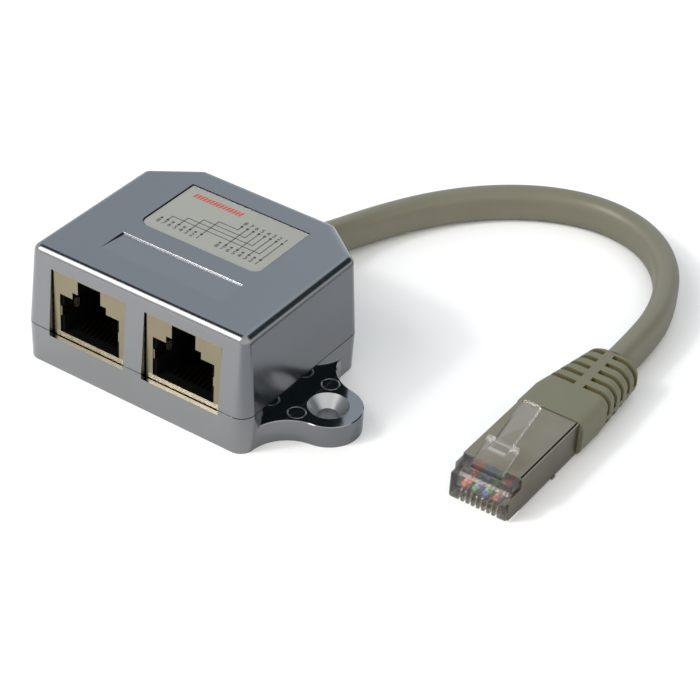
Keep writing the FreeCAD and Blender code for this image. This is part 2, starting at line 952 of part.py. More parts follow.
def corner_bends(points):
    """For each corner of a route: where its arc starts and ends, and the arc's centre and radius."""
    bends = []
    for before, corner, after in zip(points, points[1:], points[2:]):
        back = before - corner
        ahead = after - corner
        reach = ARC_SHARE * min(back.Length, ahead.Length)
        back.normalize()
        ahead.normalize()
        half_turn = (math.pi - back.getAngle(ahead)) / 2
        radius = reach / math.tan(half_turn)
        inward = back + ahead
        inward.normalize()
        centre = corner + inward * (radius / math.cos(half_turn))
        axis = ahead.cross(back)
        axis.normalize()
        bends.append((corner + back * reach, corner + ahead * reach, centre, axis, half_turn, radius))
    return bends


def sweep_route(points, section):
    """Solid of a section along straight runs and the tangent arcs that join them.

    Each run is a straight push of the section and each arc a turn about its own axis, so the
    section keeps its shape all the way. Returns the solid, its length and the arcs' radii.
    """
    points = [Vector(*point) for point in points]
    walls = [Part.Face(section)]
    here = points[0]
    length = 0
    radii = []
    for start, end, centre, axis, half_turn, radius in corner_bends(points):
        run = start - here
        turn = math.degrees(2 * half_turn)
        walls += [edge.extrude(run) for edge in section.Edges]
        section = section.translated(run)
        walls += [edge.revolve(centre, axis, turn) for edge in section.Edges]
        section = section.rotated(centre, axis, turn)
        length += run.Length + radius * 2 * half_turn
        radii.append(radius)
        here = end
    run = points[-1] - here
    walls += [edge.extrude(run) for edge in section.Edges]
    length += run.Length
    walls.append(Part.Face(section.translated(run)))
    shell = Part.Shell([face for wall in walls for face in wall.Faces])
    return Part.Solid(shell), length, radii


def oval_wire(centre, width, height):
    """Upright oval in a plane across Y, its rounded ends drawn as short flats."""
    radius = width / 2
    straight = (height - width) / 2
    corners = []
    for side in (1, -1):
        for step in range(OVAL_FLATS + 1):
            angle = math.pi * step / OVAL_FLATS
            corners.append(
                centre
                + Vector(side * radius * math.cos(angle), 0, side * (straight + radius * math.sin(angle)))
            )
    return Part.makePolygon(corners + corners[:1])


def plain_feature(label, shape):
    """A sub-part whose shape is made directly, from sizes read off the sheet."""
    feature = doc.addObject("Part::Feature", label)
    feature.Label = label
    feature.Shape = shape
    feature.Placement = FreeCAD.Placement()
    return feature


def patch_cable():
    """Flat cable from the clamp to the boot, standing on edge."""
    profile = oval_wire(Vector(*CABLE_ROUTE[0]), D.cable_width.value, D.cable_height.value)
    shape, length, radii = sweep_route(CABLE_ROUTE, profile)
    area = Part.Face(profile).Area
    print("cable arc radii:", [round(radius, 1) for radius in radii])
    print(f"cable volume {shape.Volume:.1f}, section times length {area * length:.1f}")
    print(f"cable length {length:.1f}")
    return plain_feature("patch_cable", shape)


def plug_body():
    """Clear plug moulding: slotted nose, a bore for the wires, and its latch lever."""
    body = new_body("plug_body")
    centre = D.plug_across
    half = D.plug_width / 2
    z = plug_floor
    step = nose + D.nose_step
    inset = D.shell_sheet + D.shell_gap
    sketch = new_sketch(body, "nose", "YZ_Plane", centre)
    draw_outline(
        sketch,
        [
            (nose, z),
            (nose + D.shell_start, z),
            (nose + D.shell_start, z + D.plug_height),
            (step, z + D.plug_height),
            (step, z + D.nose_height),
            (nose, z + D.nose_height),
        ],
    )
    pad(body, sketch, D.plug_width - 2 * inset, Midplane=True)
    sketch = new_sketch(body, "tail", "XZ_Plane", nose + D.shell_start)
    draw_box(
        sketch,
        centre - half + inset,
        z + inset,
        centre + half - inset,
        z + D.plug_height - inset,
    )
    pad(body, sketch, D.shell_length, Reversed=True)
    sketch = new_sketch(body, "bore", "XZ_Plane", nose + D.bore_start)
    bore = D.bore_width / 2
    draw_box(sketch, centre - bore, z + D.bore_bottom, centre + bore, z + D.bore_top)
    pocket(body, sketch, D.shell_start + D.shell_length)

    sketch = new_sketch(body, "blade_slot", "XY_Plane", z)
    first = centre - (CONTACTS - 1) / 2 * D.contact_pitch
    slot = D.blade_slot / 2
    draw_box(
        sketch,
        first - slot,
        nose - OVERRUN,
        first + slot,
        nose + D.blade_start + D.blade_length + D.bar_gap,
    )
    cut = pocket(body, sketch, D.bore_bottom, Reversed=True)
    pattern(body, [cut], "X_Axis", (CONTACTS - 1) * D.contact_pitch, CONTACTS)

    deck = z + D.plug_height
    root = nose + D.latch_root
    knee = nose + D.latch_knee_back
    knee_top = deck + D.latch_knee_rise
    shoulder = nose + D.latch_shoulder_back
    shoulder_top = deck + D.latch_shoulder_rise
    sheet = D.latch_sheet
    sketch = new_sketch(body, "latch", "YZ_Plane", centre)
    draw_outline(
        sketch,
        [
            (root, deck - OVERRUN),
            (root + sheet, deck - OVERRUN),
            (root + sheet, deck),
            (knee + sheet / 2, knee_top - sheet),
            (shoulder, shoulder_top - sheet),
            (shoulder, shoulder_top),
            (knee, knee_top),
            (root, deck + sheet / 2),
        ],
    )
    pad(body, sketch, D.latch_width, Midplane=True)
    sketch = new_sketch(body, "lever", "YZ_Plane", centre)
    tip = nose + D.latch_tip_back
    tip_top = deck + D.latch_tip_rise
    rise = D.catch_rise
    ramp = D.catch_ramp
    draw_outline(
        sketch,
        [
            (knee, knee_top),
            (knee, knee_top - sheet / 2),
            (shoulder, shoulder_top - sheet),
            (tip, tip_top - sheet),
            (tip, tip_top),
            (shoulder, shoulder_top + rise),
            (knee + ramp, knee_top + rise),
        ],
    )
    pad(body, sketch, D.lever_width, Midplane=True)
    sketch = new_sketch(body, "catches", "YZ_Plane", centre)
    catch = shoulder - D.catch_length
    draw_outline(
        sketch,
        [
            (catch, shoulder_top - sheet),
            (shoulder, shoulder_top - sheet),
            (shoulder, shoulder_top + rise),
            (catch + rise, shoulder_top + rise),
            (catch, shoulder_top),
        ],
    )
    pad(body, sketch, D.latch_width, Midplane=True)
    return body


def plug_shield():
    """Folded sheet round the plug, its seam open as a slit along the top right edge."""
    body = new_body("plug_shield")
    centre = D.plug_across
    half = D.plug_width / 2
    z = plug_floor
    sheet = D.shell_sheet
    sketch = new_sketch(body, "wrap", "XZ_Plane", nose + D.shell_start)
    draw_box(sketch, centre - half, z, centre + half, z + D.plug_height)
    draw_box(
        sketch,
        centre - half + sheet,
        z + sheet,
        centre + half - sheet,
        z + D.plug_height - sheet,
    )
    pad(body, sketch, D.shell_length, Reversed=True)
    sketch = new_sketch(body, "wings", "XZ_Plane", nose + D.wing_start)
    for side, inner in ((centre - half, centre - half + sheet), (centre + half, centre + half - sheet)):
        draw_box(sketch, side, z, inner, z + D.wing_height)
    pad(body, sketch, D.shell_start - D.wing_start + sheet, Reversed=True)
    sketch = new_sketch(body, "seam", "XY_Plane", z + D.plug_height)
    seam = centre + half - sheet
    draw_box(
        sketch,
        seam - D.shell_slit,
        nose + D.shell_start - OVERRUN,
        seam,
        boot_front + OVERRUN,
    )
    pocket(body, sketch, sheet)
    return body


def plug_contacts():
    """Eight blades in the slots of the plug's nose."""
    body = new_body("plug_contacts")
    body.AllowCompound = True
    first = D.plug_across - (CONTACTS - 1) / 2 * D.contact_pitch
    near = nose + D.blade_start
    sketch = new_sketch(body, "blade", "YZ_Plane", first)
    draw_box(
        sketch,
        near,
        plug_floor + D.blade_bottom,
        near + D.blade_length,
        plug_floor + D.bore_bottom,
    )
    blade = pad(body, sketch, D.blade_width, Midplane=True)
    pattern(body, [blade], "X_Axis", (CONTACTS - 1) * D.contact_pitch, CONTACTS)
    return body


def wire_place(index):
    """Across and height of one wire: the wires lie in two staggered rows."""
    across = D.plug_across + (index - (CONTACTS - 1) / 2) * D.contact_pitch
    if index % 2:
        return across, plug_floor + D.wire_high
    return across, plug_floor + D.wire_low


def plug_load_bar():
    """Clear bar that holds the wires in line inside the plug."""
    body = new_body("plug_load_bar")
    gap = D.bar_gap
    half = D.bore_width / 2 - gap
    sketch = new_sketch(body, "bar", "XZ_Plane", nose + D.bar_start)
    draw_box(
        sketch,
        D.plug_across - half,
        plug_floor + D.bore_bottom + gap,
        D.plug_across + half,
        plug_floor + D.bore_top - gap,
    )
    pad(body, sketch, D.bar_length, Reversed=True)
    sketch = new_sketch(body, "wire_channels", "XZ_Plane", nose + D.bar_start - OVERRUN)
    for index in range(CONTACTS):
        x, y = wire_place(index)
        channel = (D.wire_diameter + gap) / 2
        draw_box(sketch, x - channel, y - channel, x + channel, y + channel)
    pocket(body, sketch, D.bar_length + 2 * OVERRUN)
    return body


def plug_wire(index, name):
    """One insulated wire, straight through the plug."""
    body = new_body("wire_" + name)
    x, y = wire_place(index)
    sketch = new_sketch(body, "section", "XZ_Plane", nose + D.wire_start)
    draw_circle(sketch, x, y, D.wire_diameter)
    pad(body, sketch, D.wire_length, Reversed=True)
    return body


def boot_section(body, name, place, sizes, inset):
    """Rounded section of the boot, standing on its underside, drawn in by an inset."""
    shift, width, height, corner = sizes
    sketch = new_sketch(body, name, "XZ_Plane", place)
    centre = D.plug_across + shift
    half = width / 2 - inset
    draw_outline(
        sketch,
        rounded_box(centre - half, as_size(0) + inset, centre + half, height - inset, corner - inset / 2),
    )
    return sketch


def boot_loft(body, prefix, inset):
    """Boot's form, straight to its waist and narrower to its rounded end, drawn in by an inset."""
    end = boot_front + D.boot_length
    blunt = D.boot_end_round
    front_sizes = (as_size(0), D.boot_front_width, D.boot_front_height, D.boot_waist_corner)
    end_sizes = (D.boot_end_shift, D.boot_end_width, D.boot_end_height, D.boot_end_corner)
    sections = [
        boot_section(body, prefix + "_front", boot_front, front_sizes, inset),
        boot_section(body, prefix + "_waist", boot_front + D.boot_waist, front_sizes, inset),
        boot_section(body, prefix + "_rear", end - blunt, end_sizes, inset),
        boot_section(body, prefix + "_end", end, end_sizes, inset + blunt / 2),
    ]
    loft = body.newObject("PartDesign::AdditiveLoft", prefix + "_loft")
    loft.Profile = sections[0]
    loft.Sections = sections[1:]
    loft.Ruled = True
    body.Tip = loft
    doc.recompute()
    return loft


def plug_boot():
    """Moulded boot: grooves between a top rib and side ribs leave a bendable core."""
    body = new_body("plug_boot")
    boot_loft(body, "boot", as_size(0))
    near = boot_front + D.groove_first
    far = near + D.groove_width
    centre = D.plug_across + D.rib_shift
    side = D.boot_front_width
    cuts = []
    for name, height, depth, upward in (
        ("upper_groove", D.boot_end_height, D.boot_end_height - D.side_rib_top, False),
        ("lower_groove", as_size(0), D.side_rib_bottom, True),
    ):
        sketch = new_sketch(body, name, "XY_Plane", height)
        draw_box(sketch, centre - side, near, centre - D.rib_width / 2, far)
        draw_box(sketch, centre + D.rib_width / 2, near, centre + side, far)
        cuts.append(pocket(body, sketch, depth, Reversed=upward))
    count = int(D.groove_count.value)
    pattern(body, cuts, "Y_Axis", (D.groove_count - 1) * D.groove_pitch, count)
    boot_loft(body, "core", D.groove_depth)
    return body


def check_document():
    """Stop on any failed object or bad shape."""
    for item in doc.Objects:
        if "Invalid" in item.State or "Error" in item.State:
            raise ValueError(f"{item.Name} failed: {item.State}")


def main():
    parts = [
        upper_shell(),
        lower_shell(),
        wiring_label(),
        circuit_board(),
        shell_screws(),
        cable_clamp(),
        patch_cable(),
        plug_boot(),
        plug_body(),
        plug_shield(),
        plug_contacts(),
        plug_load_bar(),
    ]
    for side, centre in socket_places().items():
        parts += [jack_shield(side, centre), jack_body(side, centre), jack_contacts(side, centre)]
    for index, name in enumerate(WIRE_NAMES):
        parts.append(plug_wire(index, name))
    doc.recompute()
    check_document()
    for part in parts:
        if part.Shape.isNull() or not part.Shape.isValid():
            raise ValueError(part.Label + " has no valid shape")
    os.makedirs("parts", exist_ok=True)
    for part in parts:
        part.Shape.exportStep(f"parts/{part.Label}.step")
        print(f"{part.Label}: {len(part.Shape.Solids)} solid(s), {part.Shape.Volume:.1f} mm3")


main()
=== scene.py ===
import math

import bmesh
import bpy
from mathutils import Euler, Matrix, Vector


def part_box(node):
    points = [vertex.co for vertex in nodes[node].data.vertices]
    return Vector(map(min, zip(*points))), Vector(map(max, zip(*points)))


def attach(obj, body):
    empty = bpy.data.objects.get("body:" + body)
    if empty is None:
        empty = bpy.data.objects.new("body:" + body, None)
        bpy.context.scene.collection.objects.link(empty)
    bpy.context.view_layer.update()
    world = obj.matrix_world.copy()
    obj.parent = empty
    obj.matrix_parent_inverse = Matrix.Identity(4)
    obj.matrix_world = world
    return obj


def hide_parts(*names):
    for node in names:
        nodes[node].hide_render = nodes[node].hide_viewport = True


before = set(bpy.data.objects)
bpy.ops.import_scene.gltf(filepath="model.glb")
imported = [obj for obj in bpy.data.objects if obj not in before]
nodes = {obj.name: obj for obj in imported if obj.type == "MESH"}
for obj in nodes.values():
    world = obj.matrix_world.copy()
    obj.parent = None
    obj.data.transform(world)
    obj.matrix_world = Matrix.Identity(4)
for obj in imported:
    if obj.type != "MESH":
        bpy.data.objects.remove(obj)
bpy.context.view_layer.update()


# Camera: a long lens looking down on the adapter's front from its right, as a catalogue picture is
# taken, with a slight turn about the line of sight.
CAMERA_PLACE = (0.203006, -0.274454, 0.251752)
LOOKS_DOWN, LOOKS_ROUND, ROLLED = (math.radians(angle) for angle in (36.231, 31.996, 3.843))
FOCAL_LENGTH = 119.755
FILM_WIDTH = 36.0
lens = bpy.data.cameras.new("catalogue lens")
lens.lens = FOCAL_LENGTH
lens.sensor_width = FILM_WIDTH
lens.clip_end = 100.0
camera = bpy.data.objects.new("catalogue camera", lens)
bpy.context.scene.collection.objects.link(camera)
camera_turn = Euler((math.radians(90) - LOOKS_DOWN, 0, LOOKS_ROUND)).to_matrix()
camera_roll = Matrix.Rotation(ROLLED, 3, "Z")
camera.matrix_world = Matrix.Translation(CAMERA_PLACE) @ (camera_turn @ camera_roll).to_4x4()
bpy.context.scene.camera = camera


# Patch cable: a flat lead whose two inner cables lie one above the other, in one extruded PVC jacket.
# It leaves the housing's rear clamped, droops to the table and runs on edge round to the plug.
CABLE_ROUTE = [
    (0.0, 0.0136, 0.00764),
    (0.0, 0.0222, 0.00764),
    (0.0001, 0.031, 0.0065),
    (0.001, 0.0402, 0.0043),
    (0.004, 0.0504, 0.00362),
    (0.0092, 0.061, 0.0036),
    (0.0165, 0.0706, 0.00361),
    (0.0262, 0.0782, 0.0036),
    (0.0376, 0.0817, 0.00361),
    (0.0488, 0.0792, 0.0036),
    (0.0574, 0.0712, 0.00361),
    (0.0621, 0.0606, 0.00362),
    (0.0642, 0.05, 0.0038),
    (0.0642, 0.0376, 0.0038),
]
CABLE_ACROSS = 0.00476
CABLE_TALL = 0.0072
# How far a half circle's Bezier handles reach, in radii
HALF_CIRCLE_HANDLE = 1.3333


def linear(shade):
    """An sRGB hex colour as linear red, green, blue and a full alpha."""
    channels = [int(shade[i:i + 2], 16) / 255 for i in (1, 3, 5)]
    return (*[c / 12.92 if c <= 0.04045 else ((c + 0.055) / 1.055) ** 2.4 for c in channels], 1.0)


def add(finish, kind, inputs, **settings):
    """Adds a node to a finish; each input is given a value or the socket that feeds it."""
    node = finish.node_tree.nodes.new("ShaderNode" + kind)
    for name, value in settings.items():
        setattr(node, name, value)
    for name, value in inputs.items():
        if isinstance(value, bpy.types.NodeSocket):
            finish.node_tree.links.new(value, node.inputs[name])
        else:
            node.inputs[name].default_value = value
    return node


def new_finish(name, **surface):
    """Starts a finish from typical values of its own shader."""
    finish = bpy.data.materials.new(name)
    finish.use_nodes = True
    shader = finish.node_tree.nodes["Principled BSDF"]
    for socket, value in surface.items():
        shader.inputs[socket.replace("_", " ")].default_value = value
    return finish, shader


def feed(finish, socket, shader, name):
    """Links a socket into one of the shader's own inputs."""
    finish.node_tree.links.new(socket, shader.inputs[name])


def mottled(finish, shader, light, dark, millimetres):
    """Varies a base colour between two shades in soft patches of the given size."""
    place = add(finish, "TexCoord", {})
    patches = add(finish, "TexNoise", {
        "Vector": place.outputs["Object"], "Scale": 1000 / millimetres, "Detail": 4.0, "Roughness": 0.6,
    })
    blend = add(finish, "Mix", {
        0: patches.outputs["Fac"], 6: linear(dark), 7: linear(light),
    }, data_type="RGBA")
    feed(finish, blend.outputs[2], shader, "Base Color")
    return place


def grained(finish, shader, place, millimetres, height, strength, stretch=(1, 1, 1)):
    """Gives the surface a fine relief of the given grain size and height."""
    turned = add(finish, "Mapping", {"Vector": place.outputs["Object"], "Scale": stretch})
    grain = add(finish, "TexNoise", {
        "Vector": turned.outputs["Vector"], "Scale": 1000 / millimetres, "Detail": 3.0, "Roughness": 0.55,
    })
    relief = add(finish, "Bump", {
        "Height": grain.outputs["Fac"], "Strength": strength, "Distance": height,
    })
    feed(finish, relief.outputs["Normal"], shader, "Normal")
    return relief


# PVC: soft, extruded through a die, so it has a low sheen and a faint waviness along its length
jacket_pvc, shader = new_finish("extruded grey PVC", Roughness=0.42, IOR=1.52)
place = mottled(jacket_pvc, shader, "#706D5C", "#686554", 9.0)
grained(jacket_pvc, shader, place, 1.4, 0.00004, 0.35)

oval = bpy.data.curves.new("cable section", "CURVE")
oval.dimensions = "2D"
outline = oval.splines.new("BEZIER")
outline.bezier_points.add(3)
flat_half = (CABLE_TALL - CABLE_ACROSS) / 2
side_half = CABLE_ACROSS / 2
reach = side_half * HALF_CIRCLE_HANDLE
# The oval's four corners in turn, with 1 for those on its right side and -1 for those on its left
OVAL_CORNERS = [
    (side_half, -flat_half, 1),
    (side_half, flat_half, 1),
    (-side_half, flat_half, -1),
    (-side_half, -flat_half, -1),
]
for point, (x, y, side) in zip(outline.bezier_points, OVAL_CORNERS):
    outward = reach if y > 0 else -reach
    point.co = (x, y, 0)
    point.handle_left = (x, y, 0)
    point.handle_right = (x, y, 0)
    if y * side > 0:
        point.handle_right = (x, y + outward, 0)
    else:
        point.handle_left = (x, y + outward, 0)
outline.use_cyclic_u = True
section = bpy.data.objects.new("cable section", oval)
bpy.context.scene.collection.objects.link(section)

route = bpy.data.curves.new("cable route", "CURVE")
route.dimensions = "3D"
route.twist_mode = "Z_UP"
route.resolution_u = 10
line = route.splines.new("NURBS")
line.points.add(len(CABLE_ROUTE) - 1)
for point, corner in zip(line.points, CABLE_ROUTE):
    point.co = (*corner, 1.0)
line.order_u = 3
line.use_endpoint_u = True
guide = bpy.data.objects.new("cable route", route)
bpy.context.scene.collection.objects.link(guide)
followed = bpy.data.meshes.new_from_object(guide)
route.bevel_mode = "OBJECT"
route.bevel_object = section
route.use_fill_caps = True
bpy.context.view_layer.update()
tube = bpy.data.meshes.new_from_object(guide.evaluated_get(bpy.context.evaluated_depsgraph_get()))
bpy.data.objects.remove(guide)
bpy.data.objects.remove(section)


def piece_from(shape, name, finish):
    """Puts a finished mesh into the scene as a piece that rides with the adapter."""
    if isinstance(shape, bmesh.types.BMesh):
        mesh = bpy.data.meshes.new(name)
        shape.to_mesh(mesh)
        shape.free()
    else:
        mesh = shape
        mesh.name = name
    mesh.materials.clear()
    mesh.materials.append(finish)
    piece = bpy.data.objects.new(name, mesh)
    bpy.context.scene.collection.objects.link(piece)
    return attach(piece, "root")


cable = piece_from(tube, "cable_jacket", jacket_pvc)
for face in cable.data.polygons:
    face.use_smooth = True
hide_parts("patch_cable")


# Circuit board: a small glass-fibre laminate that joins the sockets to the cable's cores
laminate, shader = new_finish("green solder resist", Roughness=0.3, IOR=1.55)
place = mottled(laminate, shader, "#15523A", "#0F3F2C", 3.0)
grained(laminate, shader, place, 0.6, 0.00002, 0.5)


def dress(finish, *names):
    """Gives a finish to pieces that come from the frame as they are."""
    for name in names:
        nodes[name].material_slots[0].material = finish


dress(laminate, "circuit_board")


# Sockets: two black PBT inserts with eight gold-plated spring contacts each, in folded shields of
# nickel-plated brass sheet whose faces show in the housing's front. The cable's clamp is the same sheet.
# The contacts' gold is painted dark, a painted shade for the deep inside of the sockets.
black_pbt, shader = new_finish("moulded black PBT", Roughness=0.8, IOR=1.5, Specular_IOR_Level=0.08)
place = mottled(black_pbt, shader, "#050607", "#020304", 4.0)
grained(black_pbt, shader, place, 0.25, 0.00001, 0.4)
dress(black_pbt, "jack_body_left", "jack_body_right")

# painted shade: the contacts' gold is far darker than the plug's blades, for the sockets' shaded inside
shaded_contact_gold, shader = new_finish("gold flashed bronze in painted shade", Metallic=1.0, Roughness=0.3)
mottled(shaded_contact_gold, shader, "#433825", "#33291A", 1.5)
dress(shaded_contact_gold, "jack_contacts_left", "jack_contacts_right")

nickel_sheet, shader = new_finish("nickel plated brass sheet", Metallic=1.0, Roughness=0.27)
place = mottled(nickel_sheet, shader, "#948A74", "#857C67", 5.0)
grained(nickel_sheet, shader, place, 0.5, 0.000006, 0.2, stretch=(1, 1, 0.12))
dress(nickel_sheet, "jack_shield_left", "jack_shield_right", "cable_clamp")


# Plug wires: eight stranded cores, each with a thin PVC insulation. The four light ones are marked
# with dashes of their pair's colour; each row here has a wire's ground and its dashes.
DASH_REPEAT = 0.0021
DASH_EDGE = (0.0009, 0.0011)
WIRE_SHADES = {
    "wire_white_orange": ("#E9DFD2", "#D8502C"),
    "wire_orange": ("#D9441E", "#C23A18"),
    "wire_white_green": ("#E9ECE6", "#4E9A66"),
    "wire_blue": ("#1F4FA6", "#1A4494"),
    "wire_white_blue": ("#E6EAF2", "#3862B4"),
    "wire_green": ("#12843C", "#0E7233"),
    "wire_white_brown": ("#E5DAD0", "#B8382A"),
    "wire_brown": ("#8A1F16", "#741A12"),
}
for name, (ground, stripe) in WIRE_SHADES.items():
    spoken = name.removeprefix("wire_").replace("_", " ")
    insulation, shader = new_finish("insulation " + spoken, Roughness=0.35, IOR=1.5)
    place = add(insulation, "TexCoord", {})
    apart = add(insulation, "SeparateXYZ", {"Vector": place.outputs["Object"]})
    dashes = add(insulation, "Math", {0: apart.outputs["Y"], 1: DASH_REPEAT}, operation="PINGPONG")
    inked = add(insulation, "MapRange", {
        "Value": dashes.outputs["Value"], "From Min": DASH_EDGE[0], "From Max": DASH_EDGE[1],
    })
    tint = add(insulation, "Mix", {
        0: inked.outputs["Result"], 6: linear(ground), 7: linear(stripe),
    }, data_type="RGBA")
    feed(insulation, tint.outputs[2], shader, "Base Color")
    dress(insulation, name)


# Plug: a clear polycarbonate body with its latch, a clear bar that holds the wires in line, eight
# gold-plated blades, and a folded plated shell over all but its nose.
clear_body, shader = new_finish("clear polycarbonate", Roughness=0.03, IOR=1.45,
                                Transmission_Weight=0.965)
place = mottled(clear_body, shader, "#F2EFE8", "#EAE6DD", 3.0)
grained(clear_body, shader, place, 1.2, 0.00001, 0.2)
# Light reaches the wires through the plastic: rays for shadows and soft light pass straight on, and so
# does a share of what the eye sees, so that the cores' colours show behind the many thin walls.
SEEN_SOLID = 0.79
travel = add(clear_body, "LightPath", {})
passing = add(clear_body, "Math", {
    0: travel.outputs["Is Shadow Ray"], 1: travel.outputs["Is Diffuse Ray"],
}, operation="MAXIMUM")
solid = add(clear_body, "MapRange", {
    "Value": passing.outputs["Value"], "To Min": SEEN_SOLID, "To Max": 0.0,
})
feed(clear_body, solid.outputs["Result"], shader, "Alpha")
dress(clear_body, "plug_body", "plug_load_bar")

plug_plate, shader = new_finish("nickel plated steel sheet", Metallic=1.0, Roughness=0.3)
place = mottled(plug_plate, shader, "#958B7B", "#827969", 4.0)
grained(plug_plate, shader, place, 0.4, 0.00001, 0.4, stretch=(1, 0.15, 1))
dress(plug_plate, "plug_shield")

blade_gold, shader = new_finish("gold plated blade", Metallic=1.0, Roughness=0.3)
mottled(blade_gold, shader, "#DCCAA2", "#C4B28A", 1.5)
dress(blade_gold, "plug_contacts")


# Boot: soft PVC moulded over the cable and the plug's rear, with cross grooves that let it bend. Deep
# in the grooves its colour is painted darker and more olive, a painted shade tinted as by light
# bounced between the grooves' walls. A small foot of it shows under the shield's edge.
GROOVE_REACH = 0.0012
GROOVE_DEEP, GROOVE_GONE = 0.35, 0.95
FOOT_BACK = 0.0080
FOOT_SIZE = (0.0018, 0.0011, 0.00038)
FOOT_PROUD = 0.00022
FOOT_ROUNDING = 0.00008
boot_pvc, shader = new_finish("moulded grey green PVC", Roughness=0.6, IOR=1.52, Specular_IOR_Level=0.3)
place = mottled(boot_pvc, shader, "#71705E", "#696856", 6.0)
hollows = add(boot_pvc, "AmbientOcclusion", {"Distance": GROOVE_REACH}, samples=8, only_local=True)
open_share = add(boot_pvc, "MapRange", {
    "Value": hollows.outputs["AO"], "From Min": GROOVE_DEEP, "From Max": GROOVE_GONE,
})
body_tint = shader.inputs["Base Color"].links[0].from_socket
# painted shade: deep in the grooves the colour is mixed toward a dark olive
painted_groove_shade = add(boot_pvc, "Mix", {
    0: open_share.outputs["Result"], 6: linear("#5E5528"), 7: body_tint,
}, data_type="RGBA")
feed(boot_pvc, painted_groove_shade.outputs[2], shader, "Base Color")
grained(boot_pvc, shader, place, 0.5, 0.00003, 0.4)
dress(boot_pvc, "plug_boot")

shield_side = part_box("plug_shield")[1][0]
foot_shape = bmesh.new()
bmesh.ops.create_cube(foot_shape, size=1.0)
bmesh.ops.scale(foot_shape, vec=FOOT_SIZE, verts=foot_shape.verts)
bmesh.ops.translate(foot_shape, verts=foot_shape.verts, vec=(
    shield_side + FOOT_PROUD - FOOT_SIZE[0] / 2, FOOT_BACK, FOOT_SIZE[2] / 2,
))
bmesh.ops.bevel(foot_shape, geom=foot_shape.edges[:], offset=FOOT_ROUNDING, segments=2, profile=0.5,
                affect="EDGES", material=-1)
boot_foot = piece_from(foot_shape, "boot_foot", boot_pvc)


# Housing: two moulded ABS shells, copper then nickel plated and finished with thin bright chromium.
# The base with its lug is polished; the cover is a little satin. The polish has its grain in
# millimetres and the shares of the roughness between which it varies.
POLISH_GRAIN = 0.5
POLISH_SPREAD = (0.8, 1.25)


def plating(name, light, dark, roughness, ripple):
    """Bright plating on plastic: mirror-like, with a slow waviness from the moulding under it."""
    finish, shader = new_finish(name, Metallic=1.0)
    place = mottled(finish, shader, light, dark, 14.0)
    fine = add(finish, "TexNoise", {
        "Vector": place.outputs["Object"], "Scale": 1000 / POLISH_GRAIN, "Detail": 2.0,
    })
    matt = add(finish, "MapRange", {
        "Value": fine.outputs["Fac"],
        "To Min": roughness * POLISH_SPREAD[0], "To Max": roughness * POLISH_SPREAD[1],
    })
    feed(finish, matt.outputs["Result"], shader, "Roughness")
    relief = grained(finish, shader, place, 7.0, ripple, 1.0)
    return finish, shader, place, matt, relief


satin_chrome, *_ = plating("satin chromium on ABS", "#8A8B8D", "#868789", 0.2, 0.00002)
dress(satin_chrome, "upper_shell")


def plan_distance(finish, place, centre):
    """How far each point lies, seen from above, from an upright axis."""
    flat = add(finish, "VectorMath", {
        0: place.outputs["Object"], 1: (1.0, 1.0, 0.0),
    }, operation="MULTIPLY")
    away = add(finish, "VectorMath", {
        0: flat.outputs["Vector"], 1: (*centre, 0.0),
    }, operation="DISTANCE")
    return away.outputs["Value"]


# Lug: ejector pins have left a thin raised ring at each side of its hole, and the countersink, cut
# in the mould by hand, is duller than the polished top. The countersink's plating is also painted
# lighter, a painted reflection of the bright bowl.
LUG_HOLE = (0.0304, -0.004)
SINK_REACH = (0.00365, 0.0039)
PIN_MARKS = [(0.02715, -0.0090), (0.02715, 0.0013)]
PIN_RADIUS = 0.0016
MARK_LINE = 0.00014
MARK_HEIGHT = 0.00006
SINK_ROUGHNESS = 0.4
bright_chrome, shader, place, matt, relief = plating(
    "bright chromium on ABS", "#8C8D8F", "#868788", 0.09, 0.00004,
)
from_hole = plan_distance(bright_chrome, place, LUG_HOLE)
dulled = add(bright_chrome, "MapRange", {
    "Value": from_hole, "From Min": SINK_REACH[0], "From Max": SINK_REACH[1],
    "To Min": SINK_ROUGHNESS, "To Max": matt.outputs["Result"],
})
feed(bright_chrome, dulled.outputs["Result"], shader, "Roughness")
outside_sink = add(bright_chrome, "MapRange", {
    "Value": from_hole, "From Min": SINK_REACH[0], "From Max": SINK_REACH[1],
})
top_tint = shader.inputs["Base Color"].links[0].from_socket
# painted reflection: inside the countersink the plating's colour is mixed toward a lighter grey
painted_bowl_light = add(bright_chrome, "Mix", {
    0: outside_sink.outputs["Result"], 6: linear("#B4B7B9"), 7: top_tint,
}, data_type="RGBA")
feed(bright_chrome, painted_bowl_light.outputs[2], shader, "Base Color")
rings = []
for mark in PIN_MARKS:
    off = add(bright_chrome, "Math", {
        0: plan_distance(bright_chrome, place, mark), 1: PIN_RADIUS,
    }, operation="SUBTRACT")
    gap = add(bright_chrome, "Math", {0: off.outputs["Value"]}, operation="ABSOLUTE")
    ring = add(bright_chrome, "MapRange", {
        "Value": gap.outputs["Value"], "From Max": MARK_LINE, "To Min": 1.0, "To Max": 0.0,
    })
    rings.append(ring.outputs["Result"])
raised = add(bright_chrome, "Math", {0: rings[0], 1: rings[1]}, operation="MAXIMUM")
marked = add(bright_chrome, "Bump", {
    "Height": raised.outputs["Value"], "Strength": 1.0, "Distance": MARK_HEIGHT,
    "Normal": relief.outputs["Normal"],
})
feed(bright_chrome, marked.outputs["Normal"], shader, "Normal")
dress(bright_chrome, "lower_shell")


# Shell screws: two zinc-plated self-tapping screws, turned in from below and sunk in the base
zinc_steel, shader = new_finish("zinc plated steel", Metallic=1.0, Roughness=0.35)
mottled(zinc_steel, shader, "#B9BBBE", "#9EA1A5", 1.2)
dress(zinc_steel, "shell_screws")


